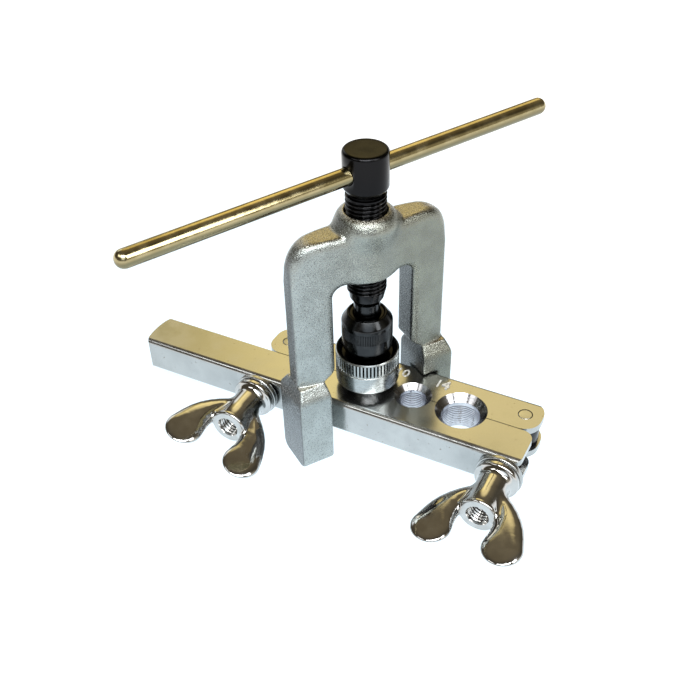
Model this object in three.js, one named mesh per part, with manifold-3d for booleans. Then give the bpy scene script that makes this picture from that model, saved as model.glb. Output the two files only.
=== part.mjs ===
// Flaring tool for metric copper tube: two clamping die bars, a slip-on yoke with a
// feed screw, a spinning flaring cone and two swing bolts with wing nuts.
// Millimetres, +Z up. Pieces are drawn with the screw axis at x = y = 0 and the top
// face of the die bars at z = 0; the whole tool is then moved onto its base.
import * as THREE from "three";
import { mergeVertices } from "three/addons/utils/BufferGeometryUtils.js";
import Module from "manifold-3d";

const wasm = await Module();
wasm.setup();

// ---------- driving dimensions ----------
const FIT = 0.35; // clearance left between neighbouring pieces
const SEGMENTS = 36;

const BAR_HEIGHT = 14;
const BAR_WIDTH = 15.8;
const BAR_SPLIT = 0.15; // each bar stops this far from the split plane
const BAR_EDGE = 1.3; // chamfer of the long outer edges
const FRONT_LEFT = -88.4;
const FRONT_BULGE = 1.9; // the grip end is slightly convex
const BAR_RIGHT = 65;
const REAR_LEFT = -44.4;

const DIES = [
  { x: -18.6, bore: 3.0, mouth: 4.2 },
  { x: 0, bore: 4.0, mouth: 5.5 },
  { x: 18.5, bore: 5.0, mouth: 6.9 },
  { x: 37.3, bore: 7.0, mouth: 9.5 },
];

const BOLTS = { left: -38, right: 58.7 };
const PIN_Y = 7.9;
const PIN_RADIUS = 2.5;
const BOLT_Z = -BAR_HEIGHT / 2;
const BOLT_RADIUS = 3.4;
const BOLT_END_Y = -31;
const EYE_RADIUS = 5.5;
const EYE_HEIGHT = 7.8;
const SLOT_HEIGHT = 8.8;
const SLOT_WIDTH = 8.8;
const EYE_POCKET = 6.1; // radius of the room cut for the eye

const DOWELS = { left: -28, right: 49.2 };
const DOWEL_RADIUS = 1.5;
const DOWEL_REACH = 5;

const WASHER = { radius: 8.4, thickness: 2, gap: 0.7 };
const NUT = { flange: 7.9, barrel: 6.3, bore: 3.75, length: 19.3, turn: { left: -17, right: 3 } };
const WING = { reach: 12.5, ahead: 29.4, lobe: 6.9, thickness: 4.8 };

const YOKE_TURN = 55.7; // degrees from the bars to the plane of the yoke
const YOKE = { half: 30.1, thick: 13.2, edge: 5.8, top: 68.8, shoulder: 9.5 };
const WINDOW = { half: 15.6, top: 50, corner: 4 };
const FOOT = { inner: 19.1, outer: 31.7, thick: 17.1, top: 7.6, bottom: -24, round: 3.4 };
const LEDGE = { inner: 20.3, top: 11.9, thick: 11.2, chamfer: 15.7 };
const BOSS = { top: 74.3, radius: 11.1, rim: 8.9, waist: 9.1 };
const YOKE_BORE = 7.25;

const THREAD = { radius: 6.87, root: 6.15, pitch: 1.5, from: 43, to: 79.6 };
const HUB = { radius: 7.65, from: 80.3, to: 95.3, chamfer: 1.25 };
const NECK = { radius: 4.65, top: 37.5, bottom: 21.5 };

const HANDLE = { z: 87.9, radius: 2.98, near: -86.4, far: 77.6, turn: 62.8 };

const HOLDER = { radius: 9.16, shoulder: 27.2, top: 32.4, bottom: 17.4, stem: 6.2, stemEnd: 12.6 };
const RING = { inner: 5.0, outer: 6.2, z: 31.1, height: 0.9 };
const BALL = { radius: 2.4, z: 18.6 };
const CONE = { tip: 0.5, radius: 9.4, rim: 11.4, bore: 6.6 };
const SLEEVE = { outer: 11.63, inner: 10.35, bottom: 3.12, band: 10.5, top: 16.55, teeth: 56 };

// ---------- materials ----------
const FINISH = {
  nickel: { color: 0xb9bfc2, roughness: 0.3, metalness: 1 },
  satin: { color: 0xa7afb2, roughness: 0.55, metalness: 1 },
  chrome: { color: 0xc9ccce, roughness: 0.12, metalness: 1 },
  black: { color: 0x1d1d1f, roughness: 0.42, metalness: 0.7 },
  handle: { color: 0xb4b0a0, roughness: 0.22, metalness: 1 },
  steel: { color: 0xc4c6c8, roughness: 0.2, metalness: 1 },
};

// ---------- solids ----------
function toSolid(geometry) {
  const bare = geometry.clone();
  bare.deleteAttribute("normal");
  bare.deleteAttribute("uv");
  const merged = mergeVertices(bare, 1e-4);
  return new wasm.Manifold(new wasm.Mesh({
    numProp: 3,
    vertProperties: new Float32Array(merged.attributes.position.array),
    triVerts: new Uint32Array(merged.index.array),
  }));
}

function toGeometry(solid) {
  const mesh = solid.getMesh();
  const geometry = new THREE.BufferGeometry();
  geometry.setAttribute("position", new THREE.BufferAttribute(mesh.vertProperties, 3));
  geometry.setIndex(new THREE.BufferAttribute(mesh.triVerts, 1));
  geometry.computeVertexNormals();
  return geometry;
}

function box(x0, x1, y0, y1, z0, z1) {
  const geometry = new THREE.BoxGeometry(x1 - x0, y1 - y0, z1 - z0);
  geometry.translate((x0 + x1) / 2, (y0 + y1) / 2, (z0 + z1) / 2);
  return toSolid(geometry);
}

// Turned piece about +Z from [radius, z] pairs listed bottom to top; it starts and ends
// on the axis, or closes on itself for a ring.
function turned(profile, segments = SEGMENTS) {
  const points = profile.map(([r, z]) => new THREE.Vector2(r, z));
  const geometry = new THREE.LatheGeometry(points, segments);
  geometry.rotateX(Math.PI / 2);
  return toSolid(geometry);
}

function rod(radius, z0, z1, segments = SEGMENTS) {
  return turned([[0, z0], [radius, z0], [radius, z1], [0, z1]], segments);
}

// Outline in X-Y pushed up from z0 to z1.
function slab(shape, z0, z1, curveSegments = 8) {
  const geometry = new THREE.ExtrudeGeometry(shape, {
    depth: z1 - z0, bevelEnabled: false, curveSegments,
  });
  geometry.translate(0, 0, z0);
  return toSolid(geometry);
}

// Outline in X-Z with the given depth centred on y = 0, edges rounded by `round`.
function plate(shape, depth, round, curveSegments = 8) {
  const geometry = new THREE.ExtrudeGeometry(shape, {
    depth: depth - 2 * round,
    bevelEnabled: round > 0,
    bevelThickness: round,
    bevelSize: round,
    bevelOffset: -round,
    bevelSegments: 3,
    curveSegments,
  });
  geometry.translate(0, 0, -(depth - 2 * round) / 2);
  geometry.rotateX(Math.PI / 2);
  return toSolid(geometry);
}

function outline(points) {
  return new THREE.Shape(points.map(([x, y]) => new THREE.Vector2(x, y)));
}

// Rectangle whose four corners have their own radii, listed from the low-x low-y corner
// anticlockwise.
function roundedOutline(x0, x1, y0, y1, radii) {
  const corners = [[x0, y0, 180], [x1, y0, 270], [x1, y1, 0], [x0, y1, 90]];
  const points = corners.flatMap(([x, y, start], i) => {
    const radius = radii[i];
    const cx = x + (x === x0 ? radius : -radius);
    const cy = y + (y === y0 ? radius : -radius);
    return arc(cx, cy, radius, start, start + 90, radius > 0 ? 7 : 1);
  });
  return outline(points);
}

function arc(cx, cy, radius, from, to, count) {
  if (count === 1) {
    return [[cx, cy]];
  }
  return Array.from({ length: count }, (_, i) => {
    const angle = THREE.MathUtils.degToRad(from + ((to - from) * i) / (count - 1));
    return [cx + radius * Math.cos(angle), cy + radius * Math.sin(angle)];
  });
}

const along = {
  minusY: [90, 0, 0],
  x: [0, 90, 0],
};

// ---------- die bars ----------
function dieCutter({ x, bore, mouth }) {
  const above = 1;
  const sink = mouth - bore;
  return turned([
    [0, -BAR_HEIGHT - above], [bore, -BAR_HEIGHT - above], [bore, -sink],
    [mouth, 0], [mouth, above], [0, above],
  ]).translate([x, 0, 0]);
}

// Long wedge that breaks the outer edge of a bar; side is -1 for the front bar and +1
// for the rear, level is the height of the edge.
function edgeCutter(side, level) {
  const size = BAR_EDGE * Math.SQRT2;
  const length = 400;
  return box(-length / 2, length / 2, -size / 2, size / 2, -size / 2, size / 2)
    .rotate([45, 0, 0])
    .translate([0, side * BAR_WIDTH, level]);
}

function dowelHole(x) {
  const reach = DOWEL_REACH + FIT;
  return rod(DOWEL_RADIUS + 0.3, -reach, reach, 20).rotate(along.minusY).translate([x, 0, BOLT_Z]);
}

function cutCommon(bar, side) {
  let result = bar;
  for (const die of DIES) {
    result = result.subtract(dieCutter(die));
  }
  for (const x of Object.values(DOWELS)) {
    result = result.subtract(dowelHole(x));
  }
  for (const level of [0, -BAR_HEIGHT]) {
    result = result.subtract(edgeCutter(side, level));
  }
  return result;
}

function frontBar() {
  const shape = outline([
    ...arc(BAR_RIGHT - 2.5, -BAR_WIDTH + 2.5, 2.5, 270, 360, 6),
    ...arc(BAR_RIGHT - 4, -BAR_SPLIT - 4, 4, 0, 90, 7),
    [FRONT_LEFT, -BAR_SPLIT],
    [FRONT_LEFT - FRONT_BULGE * 0.75, -BAR_WIDTH * 0.25],
    [FRONT_LEFT - FRONT_BULGE, -BAR_WIDTH * 0.5],
    [FRONT_LEFT - FRONT_BULGE * 0.75, -BAR_WIDTH * 0.75],
    [FRONT_LEFT, -BAR_WIDTH],
  ]);
  const blank = slab(shape, -BAR_HEIGHT, 0);
  const slotLow = BOLT_Z - SLOT_HEIGHT / 2;
  const slotHigh = BOLT_Z + SLOT_HEIGHT / 2;
  const half = SLOT_WIDTH / 2;
  const leftSlot = box(BOLTS.left - half, BOLTS.left + half, -20, 5, slotLow, slotHigh);
  const rightSlot = box(BOLTS.right - half, BAR_RIGHT + 5, -20, 5, slotLow, slotHigh);
  return cutCommon(blank, -1).subtract(leftSlot).subtract(rightSlot);
}

// Room for the eye and the shank of a swing bolt, open towards the nearer bar end.
function eyePocket(x, end) {
  const low = BOLT_Z - SLOT_HEIGHT / 2;
  const high = BOLT_Z + SLOT_HEIGHT / 2;
  const round = rod(EYE_POCKET, low, high, 36).translate([x, PIN_Y, 0]);
  const [x0, x1] = end < x ? [end - 5, x] : [x, end + 5];
  const toEnd = box(x0, x1, -1, PIN_Y + EYE_POCKET, low, high);
  const toFront = box(x - EYE_POCKET, x + EYE_POCKET, -1, PIN_Y, low, high);
  return round.add(toEnd).add(toFront);
}

function pinHole(x) {
  return rod(PIN_RADIUS + 0.25, -BAR_HEIGHT - 1, 1, 32).translate([x, PIN_Y, 0]);
}

function rearBar() {
  const shape = roundedOutline(REAR_LEFT, BAR_RIGHT, BAR_SPLIT, BAR_WIDTH, [6, 6.5, 6.5, 6]);
  return cutCommon(slab(shape, -BAR_HEIGHT, 0), 1)
    .subtract(eyePocket(BOLTS.left, REAR_LEFT))
    .subtract(eyePocket(BOLTS.right, BAR_RIGHT))
    .subtract(pinHole(BOLTS.left))
    .subtract(pinHole(BOLTS.right));
}

function dowel() {
  return rod(DOWEL_RADIUS, -DOWEL_REACH, DOWEL_REACH, 20).rotate(along.minusY);
}

function pivotPin() {
  return rod(PIN_RADIUS, -BAR_HEIGHT + 0.1, -0.05, 32);
}

// ---------- swing bolts and wing nuts ----------
// Drawn about the pivot pin's axis, shank towards -Y.
function swingBolt() {
  const eye = rod(EYE_RADIUS, -EYE_HEIGHT / 2, EYE_HEIGHT / 2, 36);
  const hole = rod(PIN_RADIUS + 0.3, -EYE_HEIGHT, EYE_HEIGHT, 32);
  const length = PIN_Y - BOLT_END_Y;
  const shank = turned([
    [0, 0], [BOLT_RADIUS, 0], [BOLT_RADIUS, length - 0.8], [BOLT_RADIUS - 0.8, length],
    [0, length],
  ], 32).rotate(along.minusY);
  return eye.add(shank).subtract(hole);
}

function washer() {
  const { radius, thickness } = WASHER;
  const ring = [
    [BOLT_RADIUS + 0.5, 0], [radius - 0.3, 0], [radius, 0.3], [radius, thickness - 0.3],
    [radius - 0.3, thickness], [BOLT_RADIUS + 0.5, thickness], [BOLT_RADIUS + 0.5, 0],
  ];
  return turned(ring, 40).rotate(along.minusY);
}

// One wing in X-Z before it is laid over: X outwards, Z along the barrel.
function wingShape() {
  const { reach, ahead, lobe } = WING;
  const shape = new THREE.Shape();
  shape.moveTo(2.5, 9.5);
  shape.lineTo(5.6, 10.5);
  shape.bezierCurveTo(9.2, 13.2, 15.6, 19.4, reach + lobe * 0.88, ahead - lobe * 0.48);
  shape.bezierCurveTo(reach + lobe * 1.1, ahead + lobe * 0.1, reach + lobe * 0.8, ahead + lobe,
    reach, ahead + lobe);
  shape.bezierCurveTo(reach - lobe * 0.75, ahead + lobe, reach - lobe * 1.1, ahead + lobe * 0.3,
    reach - lobe * 0.82, ahead - lobe * 0.35);
  shape.bezierCurveTo(reach - lobe * 0.7, ahead - lobe * 0.85, 5.9, 21, 5.2, 18.6);
  shape.lineTo(2.5, 18.2);
  shape.closePath();
  return shape;
}

function wingNut() {
  const { flange, barrel, bore, length } = NUT;
  const body = turned([
    [0, 0], [flange - 0.3, 0], [flange, 0.3], [flange, 1.7], [flange - 0.4, 2.1],
    [barrel + 0.5, 2.9], [barrel, 4.4], [barrel - 0.1, length - 0.6], [barrel - 0.7, length],
    [0, length],
  ]);
  const wing = plate(wingShape(), WING.thickness, 1.9, 6);
  const hole = rod(bore, -1, length + 1, 32);
  const mouth = turned([[0, length - 0.7], [bore, length - 0.7], [bore + 0.7, length + 0.3],
    [0, length + 0.3]], 32);
  return body.add(wing).add(wing.rotate([0, 0, 180])).subtract(hole).subtract(mouth)
    .rotate(along.minusY);
}

// ---------- yoke ----------
// Drawn in its own plane, X across the bars and Z up, then turned onto the bars.
function yokeFront() {
  const { half, top, shoulder } = YOKE;
  const low = LEDGE.top - 2;
  const mid = WINDOW.corner;
  const right = [
    [LEDGE.inner, low], [half + 0.3, low], ...arc(half - shoulder, top - shoulder, shoulder, 0, 90, 9),
  ];
  const left = right.map(([x, z]) => [-x, z]).reverse();
  const inside = [
    [-LEDGE.inner, LEDGE.top - 0.3], [-WINDOW.half, LEDGE.chamfer],
    ...arc(-WINDOW.half + mid, WINDOW.top - mid, mid, 180, 90, 6),
    ...arc(WINDOW.half - mid, WINDOW.top - mid, mid, 90, 0, 6),
    [WINDOW.half, LEDGE.chamfer], [LEDGE.inner, LEDGE.top - 0.3],
  ];
  return outline([...right, ...left, ...inside]);
}

// Plan of the legs: full thickness beside the window, thinning to the outer edges.
function yokePlan() {
  const inner = WINDOW.half + 1;
  const t = YOKE.thick / 2;
  const e = YOKE.edge / 2;
  const out = YOKE.half + 1;
  const tip = YOKE.half - 0.8;
  return outline([
    [inner, -t], [tip, -e - 0.6], [YOKE.half, -e], [out, -e], [out, e], [YOKE.half, e],
    [tip, e + 0.6], [inner, t], [-inner, t], [-tip, e + 0.6], [-YOKE.half, e], [-out, e],
    [-out, -e], [-YOKE.half, -e], [-tip, -e - 0.6], [-inner, -t],
  ]);
}

// Foot block with a sloped ledge up to the leg, for the +X side.
function foot() {
  const { inner, outer, thick, top, bottom, round } = FOOT;
  const t = thick / 2;
  const lt = LEDGE.thick / 2;
  const section = outline([
    ...arc(-t + round, bottom + round, round, 180, 270, 6),
    ...arc(t - round, bottom + round, round, 270, 360, 6),
    [t, top], [lt, LEDGE.top], [-lt, LEDGE.top], [-t, top],
  ]);
  const geometry = new THREE.ExtrudeGeometry(section, {
    depth: outer - inner, bevelEnabled: false,
  });
  geometry.rotateX(Math.PI / 2);
  geometry.rotateZ(Math.PI / 2);
  geometry.translate(inner, 0, 0);
  const profile = outline([
    [inner, bottom - 1], [outer, bottom - 1], [outer, top], [YOKE.half, LEDGE.top],
    [LEDGE.inner, LEDGE.top], [inner, top],
  ]);
  return toSolid(geometry).intersect(plate(profile, 40, 0));
}

function boss() {
  const { top, radius, rim, waist } = BOSS;
  const foot = WINDOW.top;
  return turned([
    [0, foot], [waist - 0.7, foot], [waist, foot + 1], [waist, foot + 11],
    [radius - 1.2, 65.6], [radius, 68], [radius, 69.6], [radius - 0.8, 71.4],
    [rim + 0.9, top - 1], [rim, top - 0.2], [rim - 0.6, top], [0, top],
  ]);
}

function yoke() {
  const frame = plate(yokeFront(), YOKE.thick, 0)
    .intersect(slab(yokePlan(), -50, 100));
  const crown = plate(yokeFront(), YOKE.thick + 0.02, 2.6)
    .intersect(box(-60, 60, -30, 30, WINDOW.top + 3, 100));
  const upper = frame.intersect(crown);
  const lower = frame.intersect(box(-60, 60, -30, 30, -60, WINDOW.top + 3));
  const bars = box(-80, 80, -BAR_WIDTH - FIT - 0.05, BAR_WIDTH + FIT + 0.05,
    -BAR_HEIGHT - 0.5, 0.6).rotate([0, 0, -YOKE_TURN]);
  const bore = rod(YOKE_BORE, 40, 90);
  const mouth = turned([[0, BOSS.top - 0.8], [YOKE_BORE, BOSS.top - 0.8],
    [YOKE_BORE + 0.8, BOSS.top + 0.2], [0, BOSS.top + 0.2]]);
  return upper.add(lower).add(boss()).add(foot()).add(foot().rotate([0, 0, 180]))
    .subtract(bars).subtract(bore).subtract(mouth);
}

// ---------- spindle, handle and cone ----------
function spindle() {
  const { radius, root, pitch, from, to } = THREAD;
  const turns = Math.floor((to - from) / pitch);
  const ridges = Array.from({ length: turns }, (_, i) => {
    const z = from + i * pitch;
    return [[root, z + pitch * 0.45], [radius, z + pitch]];
  }).flat();
  const head = rod(HANDLE.radius + 0.25, -20, 20, 32).rotate(along.x)
    .rotate([0, 0, HANDLE.turn]).translate([0, 0, HANDLE.z]);
  return turned([
    [0, NECK.bottom], [NECK.radius - 0.6, NECK.bottom], [NECK.radius, NECK.bottom + 0.6],
    [NECK.radius, NECK.top], [radius - 1.1, from - 3.4], [radius - 0.35, from - 1.8],
    [radius, from], ...ridges, [root, to], [root, HUB.from],
    [HUB.radius - HUB.chamfer, HUB.from], [HUB.radius, HUB.from + HUB.chamfer],
    [HUB.radius, HUB.to - HUB.chamfer], [HUB.radius - HUB.chamfer, HUB.to], [0, HUB.to],
  ], 30).subtract(head);
}

// Round-ended bar along X, slightly longer on the side that is nearer to -X.
function handle() {
  const { radius, near, far } = HANDLE;
  const cap = (from, to, end) => arc(0, end, radius, from, to, 6)
    .map(([x, y]) => [Math.max(x, 0), y]);
  return turned([...cap(-90, 0, near + radius), ...cap(0, 90, far - radius)], 28)
    .rotate(along.x);
}

function coneHolder() {
  const { radius, shoulder, top, bottom, stem, stemEnd } = HOLDER;
  const bore = NECK.radius + FIT;
  return turned([
    [0, stemEnd], [stem, stemEnd], [stem, bottom], [radius - 0.9, bottom],
    [radius, bottom + 1.2], [radius, shoulder], [radius - 0.35, shoulder + 2],
    [radius - 1.2, shoulder + 3.4], [radius - 2.2, top - 0.7], [radius - 2.6, top - 0.2],
    [RING.outer + 0.3, top - 0.2], [RING.outer + 0.3, RING.z - 0.3], [bore, RING.z - 0.3],
    [bore, NECK.bottom - 0.3], [BALL.radius + 0.3, NECK.bottom - 0.3],
    [BALL.radius + 0.3, BALL.z - BALL.radius - 0.3], [0, BALL.z - BALL.radius - 0.3],
  ]);
}

function retainingRing() {
  const { inner, outer, z, height } = RING;
  return turned([[inner, z], [outer, z], [outer, z + height], [inner, z + height], [inner, z]]);
}

// 45 degree cone with a hollow rim that turns on the holder's stem.
function flaringCone() {
  const { tip, radius, rim, bore } = CONE;
  const nose = 0.5;
  const full = tip + radius;
  return turned([
    [0, tip], [nose * 0.7, tip + nose * 0.2], [nose + 0.2, tip + nose + 0.2],
    [radius, full], [radius, rim + 3.4], [bore, rim + 3.4], [bore, rim + 0.7], [0, rim + 0.7],
  ]);
}

function sleeve() {
  const { outer, inner, bottom, band, top, teeth } = SLEEVE;
  const ring = turned([
    [inner - 0.5, bottom], [outer - 0.5, bottom], [outer, bottom + 0.5], [outer, band],
    [outer - 0.5, band + 0.4], [outer - 0.5, top - 0.6], [outer - 1, top], [inner, top],
    [inner, bottom + 0.5], [inner - 0.5, bottom],
  ]);
  const knurl = Array.from({ length: teeth * 2 }, (_, i) => {
    const angle = (Math.PI * i) / teeth;
    const radius = i % 2 ? outer - 0.45 : outer;
    return [radius * Math.cos(angle), radius * Math.sin(angle)];
  });
  const toothed = slab(outline(knurl), band + 0.45, top - 0.6)
    .subtract(rod(inner + 0.4, band - 1, top + 1));
  return ring.add(toothed);
}

// ---------- assembly ----------
function piece(name, solid, finish) {
  const mesh = new THREE.Mesh(toGeometry(solid), new THREE.MeshStandardMaterial(FINISH[finish]));
  mesh.name = name;
  return mesh;
}

function group(name, position, ...children) {
  const node = new THREE.Group();
  node.name = name;
  node.position.set(...position);
  node.add(...children);
  return node;
}

function clampSet(side) {
  const x = BOLTS[side];
  const bolt = piece(`${side}_swing_bolt`, swingBolt(), "black");
  const pin = piece(`${side}_pivot_pin`, pivotPin(), "nickel");
  pin.position.z = -BOLT_Z;
  const disc = piece(`${side}_washer`, washer(), "nickel");
  disc.position.y = -PIN_Y - BAR_WIDTH - WASHER.gap;
  const nut = piece(`${side}_wing_nut`, wingNut(), "chrome");
  nut.position.y = disc.position.y - WASHER.thickness - 0.3;
  nut.rotation.y = -THREE.MathUtils.degToRad(NUT.turn[side]);
  return group(`${side}_clamp`, [x, PIN_Y, BOLT_Z], bolt, pin, disc, nut);
}

function dieSet() {
  const pins = Object.entries(DOWELS).map(([side, x]) => {
    const node = piece(`${side}_dowel`, dowel(), "steel");
    node.position.set(x, 0, BOLT_Z);
    return node;
  });
  return group("dies", [0, 0, 0], piece("front_die_bar", frontBar(), "nickel"),
    piece("rear_die_bar", rearBar(), "nickel"), ...pins);
}

function press() {
  const bar = piece("tommy_bar", handle(), "handle");
  bar.position.z = HANDLE.z;
  bar.rotation.z = THREE.MathUtils.degToRad(HANDLE.turn);
  const ball = piece("thrust_ball", toSolid(new THREE.SphereGeometry(BALL.radius, 20, 14)), "steel");
  ball.position.z = BALL.z;
  return group("press", [0, 0, 0], piece("spindle", spindle(), "black"), bar,
    piece("cone_holder", coneHolder(), "black"), piece("retaining_ring", retainingRing(), "black"),
    ball, piece("flaring_cone", flaringCone(), "steel"), piece("knurled_sleeve", sleeve(), "nickel"));
}

function tool() {
  const frame = piece("yoke", yoke(), "satin");
  frame.rotation.z = THREE.MathUtils.degToRad(YOKE_TURN);
  return group("flaring_tool", [0, 0, 0], dieSet(), clampSet("left"), clampSet("right"), frame,
    press());
}

// Base of the tool at z = 0, middle of its footprint at x = y = 0.
function onBase(object) {
  object.updateMatrixWorld(true);
  const bounds = new THREE.Box3().setFromObject(object, true);
  const middle = bounds.getCenter(new THREE.Vector3());
  object.position.set(-middle.x, -middle.y, -bounds.min.z);
  return object;
}

export default onBase(tool());
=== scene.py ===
"""Flaring tool: the looks of every piece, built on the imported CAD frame.

Shapes are drawn in millimetres, in work coordinates: x along the die bars and z up, from
the point where the feed screw's axis meets the top face of the bars. Turned pieces are
drawn about their own z axis and then placed.
"""

import math

import bpy
import numpy as np
from mathutils import Matrix, Vector

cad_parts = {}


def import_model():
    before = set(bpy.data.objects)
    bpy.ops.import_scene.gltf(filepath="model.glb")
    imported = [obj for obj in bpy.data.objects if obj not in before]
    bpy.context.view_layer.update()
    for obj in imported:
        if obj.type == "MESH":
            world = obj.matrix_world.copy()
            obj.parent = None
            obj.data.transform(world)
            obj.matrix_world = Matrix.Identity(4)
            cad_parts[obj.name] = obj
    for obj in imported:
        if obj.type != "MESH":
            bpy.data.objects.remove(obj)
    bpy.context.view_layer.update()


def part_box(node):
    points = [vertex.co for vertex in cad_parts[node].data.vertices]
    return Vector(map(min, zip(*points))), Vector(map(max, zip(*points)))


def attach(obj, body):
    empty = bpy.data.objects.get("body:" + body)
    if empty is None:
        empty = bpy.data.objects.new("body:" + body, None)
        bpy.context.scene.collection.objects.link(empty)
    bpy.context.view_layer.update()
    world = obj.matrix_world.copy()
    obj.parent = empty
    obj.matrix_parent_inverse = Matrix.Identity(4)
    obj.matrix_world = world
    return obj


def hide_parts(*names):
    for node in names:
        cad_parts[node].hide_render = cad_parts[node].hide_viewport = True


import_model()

MM = 0.001


# ---------- places, read from the frame ----------
def middle(node):
    low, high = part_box(node)
    return (low + high) / 2


BAR_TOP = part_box("rear_die_bar")[1].z
ORIGIN = Vector((middle("cone_holder").x, middle("cone_holder").y, BAR_TOP))


def work(node):
    """Lowest and highest corner of a CAD node in work coordinates."""
    low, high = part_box(node)
    return (low - ORIGIN) / MM, (high - ORIGIN) / MM


def place(x=0.0, y=0.0, z=0.0):
    """The move that takes a piece's own origin to a point in work coordinates."""
    return Matrix.Translation(ORIGIN + Vector((x, y, z)) * MM)


FORWARD = Matrix.Rotation(math.radians(90), 4, "X")  # a piece's z axis laid towards -Y

# Turns are in degrees, and everything else here is in millimetres.
YOKE_TURN = 55.7
HANDLE_TURN = 62.8
NUT_TURN = {"left": -17.0, "right": 3.0}
BAR_LOW = work("front_die_bar")[0].z
BAR_WIDTH = work("rear_die_bar")[1].y
BAR_SPLIT = 0.15  # each bar stops this far from the plane between them
BAR_ROUND = 2.0  # long outer edges
BOLT_Z = BAR_LOW / 2
SLOT_HALF = 4.4  # half the height and width of the slots for the bolts
EYE_POCKET = 6.1  # radius of the room for a bolt's eye
PIN = {side: (middle(f"{side}_pivot_pin") - ORIGIN) / MM for side in ("left", "right")}
DIES = (
    {"size": "6", "x": -18.6, "bore": 3.0, "mouth": 4.2},
    {"size": "8", "x": 0.0, "bore": 4.0, "mouth": 5.5},
    {"size": "10", "x": 18.5, "bore": 5.0, "mouth": 6.9},
    {"size": "14", "x": 37.3, "bore": 7.0, "mouth": 9.5},
)


# ---------- meshes ----------
def new_object(name, points, faces, sharp=32):
    mesh = bpy.data.meshes.new(name)
    mesh.from_pydata((np.asarray(points, float) * MM).tolist(), [], faces)
    mesh.validate()
    mesh.materials.append(None)
    obj = bpy.data.objects.new(name, mesh)
    bpy.context.scene.collection.objects.link(obj)
    shade(mesh, sharp)
    return obj


def shade(mesh, sharp):
    mesh.shade_smooth()
    mesh.set_sharp_from_angle(angle=math.radians(sharp))


def bake_modifiers(obj):
    """Makes the modified shape of an object its own mesh."""
    bpy.context.view_layer.update()
    evaluated = obj.evaluated_get(bpy.context.evaluated_depsgraph_get())
    mesh = bpy.data.meshes.new_from_object(evaluated)
    obj.modifiers.clear()
    obj.data = mesh
    return obj


def carve(obj, cutters, operation="DIFFERENCE"):
    """Cuts other objects out of this one, and removes them."""
    for cutter in cutters:
        boolean = obj.modifiers.new("carve", "BOOLEAN")
        boolean.operation = operation
        boolean.solver = "EXACT"
        boolean.material_mode = "TRANSFER"
        boolean.object = cutter
    bake_modifiers(obj)
    for cutter in cutters:
        bpy.data.objects.remove(cutter)
    return obj


def soften(obj, width, limit=32):
    """Small machined bevels on the sharp edges."""
    bevel = obj.modifiers.new("bevel", "BEVEL")
    bevel.width = width * MM
    bevel.segments = 2
    bevel.limit_method = "ANGLE"
    bevel.angle_limit = math.radians(limit)
    return bake_modifiers(obj)


def flatten_shading(obj, sharp=40):
    """Normals that keep large faces flat beside their bevels."""
    shade(obj.data, sharp)
    weighted = obj.modifiers.new("weighted", "WEIGHTED_NORMAL")
    weighted.keep_sharp = True
    return bake_modifiers(obj)


def rounded(corners, steps=5, closed=False):
    """Polyline through (x, y, radius) corners, each turned into an arc."""
    out = []
    for i, (x, y, radius) in enumerate(corners):
        corner = Vector((x, y))
        at_end = not closed and i in (0, len(corners) - 1)
        if radius == 0 or at_end:
            out.append((x, y))
            continue
        back = Vector(corners[i - 1][:2]) - corner
        ahead = Vector(corners[(i + 1) % len(corners)][:2]) - corner
        half = back.angle(ahead) / 2
        cut = min(radius / math.tan(half), back.length * 0.49, ahead.length * 0.49)
        centre = corner + (back.normalized() + ahead.normalized()).normalized() * (
            cut / math.cos(half)
        )
        start = corner + back.normalized() * cut - centre
        end = corner + ahead.normalized() * cut - centre
        sweep = start.angle(end)
        for k in range(steps + 1):
            share = k / steps
            spoke = start * math.sin((1 - share) * sweep) + end * math.sin(share * sweep)
            out.append(tuple(centre + spoke / math.sin(sweep)))
    return out


def lathe(name, profile, segments=128, ripple=None, sharp=32):
    """Turned solid about z from (radius, z) points that start and end on the axis, or close
    on themselves. ripple(angle, z) adds to the radius."""
    ring = math.dist(profile[0], profile[-1]) < 1e-6
    if ring:
        profile = profile[:-1]
    angle = np.arange(segments) * 2 * math.pi / segments
    points, rows = [], []
    for radius, z in profile:
        if radius < 1e-6:
            rows.append([len(points)] * segments)
            points.append((0, 0, z))
            continue
        grown = radius + (ripple(angle, z) if ripple else 0) + 0 * angle
        rows.append(list(range(len(points), len(points) + segments)))
        points.extend(zip(grown * np.cos(angle), grown * np.sin(angle), [z] * segments))
    faces = []
    for a, b in zip(rows, rows[1:] + (rows[:1] if ring else [])):
        for i in range(segments):
            k = (i + 1) % segments
            face = dict.fromkeys((a[i], a[k], b[k], b[i]))
            if len(face) > 2:
                faces.append(tuple(face))
    return new_object(name, points, faces, sharp)


def prism(name, outline, z0, z1):
    """Straight-sided solid on an anticlockwise outline."""
    n = len(outline)
    points = [(x, y, z) for z in (z0, z1) for x, y in outline]
    sides = [(i, (i + 1) % n, n + (i + 1) % n, n + i) for i in range(n)]
    caps = [tuple(reversed(range(n))), tuple(range(n, 2 * n))]
    return new_object(name, points, sides + caps)


def block(name, low, high):
    outline = [(low[0], low[1]), (high[0], low[1]), (high[0], high[1]), (low[0], high[1])]
    return prism(name, outline, low[2], high[2])


# ---------- rounded forms from distances ----------
def join(a, b, radius):
    """Distance to two forms run together with a fillet."""
    fillet = np.hypot(np.maximum(radius - a, 0), np.maximum(radius - b, 0))
    return np.maximum(radius, np.minimum(a, b)) - fillet


def common(a, b, radius):
    """Distance to what two forms share, its edge rounded."""
    edge = np.hypot(np.maximum(radius + a, 0), np.maximum(radius + b, 0))
    return np.minimum(-radius, np.maximum(a, b)) + edge


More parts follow.
